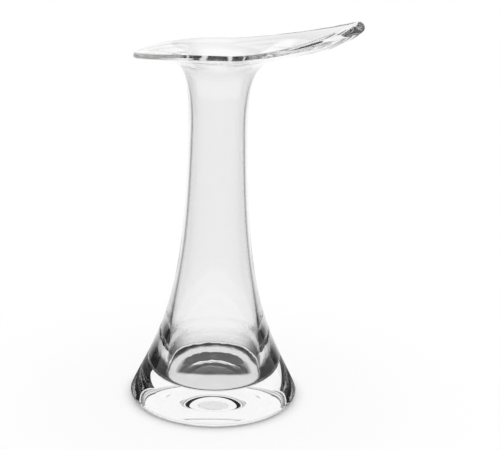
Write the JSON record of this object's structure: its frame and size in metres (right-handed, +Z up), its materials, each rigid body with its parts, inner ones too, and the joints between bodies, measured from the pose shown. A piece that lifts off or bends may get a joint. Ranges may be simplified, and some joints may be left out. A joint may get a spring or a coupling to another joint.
{
  "type": "fan vase",
  "caption": "Tall clear glass vase with a heavy conical foot, a slim neck and a wide leaf-shaped lip drawn up to a tip at one side, for a few cut stems.",
  "frame": {"origin": "centre of the flat ring that the foot stands on, on the vase's axis", "axes": "+Z up along the vase's axis, +X toward the raised tip of the lip; symmetric about the XZ plane"},
  "size_m": [0.1737, 0.133, 0.3],
  "materials": {
    "clear_glass": "polished clear glass"
  },
  "bodies": {
    "root": {"solid_foot": "clear_glass", "blown_body": "clear_glass", "drawn_lip": "clear_glass"}
  },
  "joints": []
}
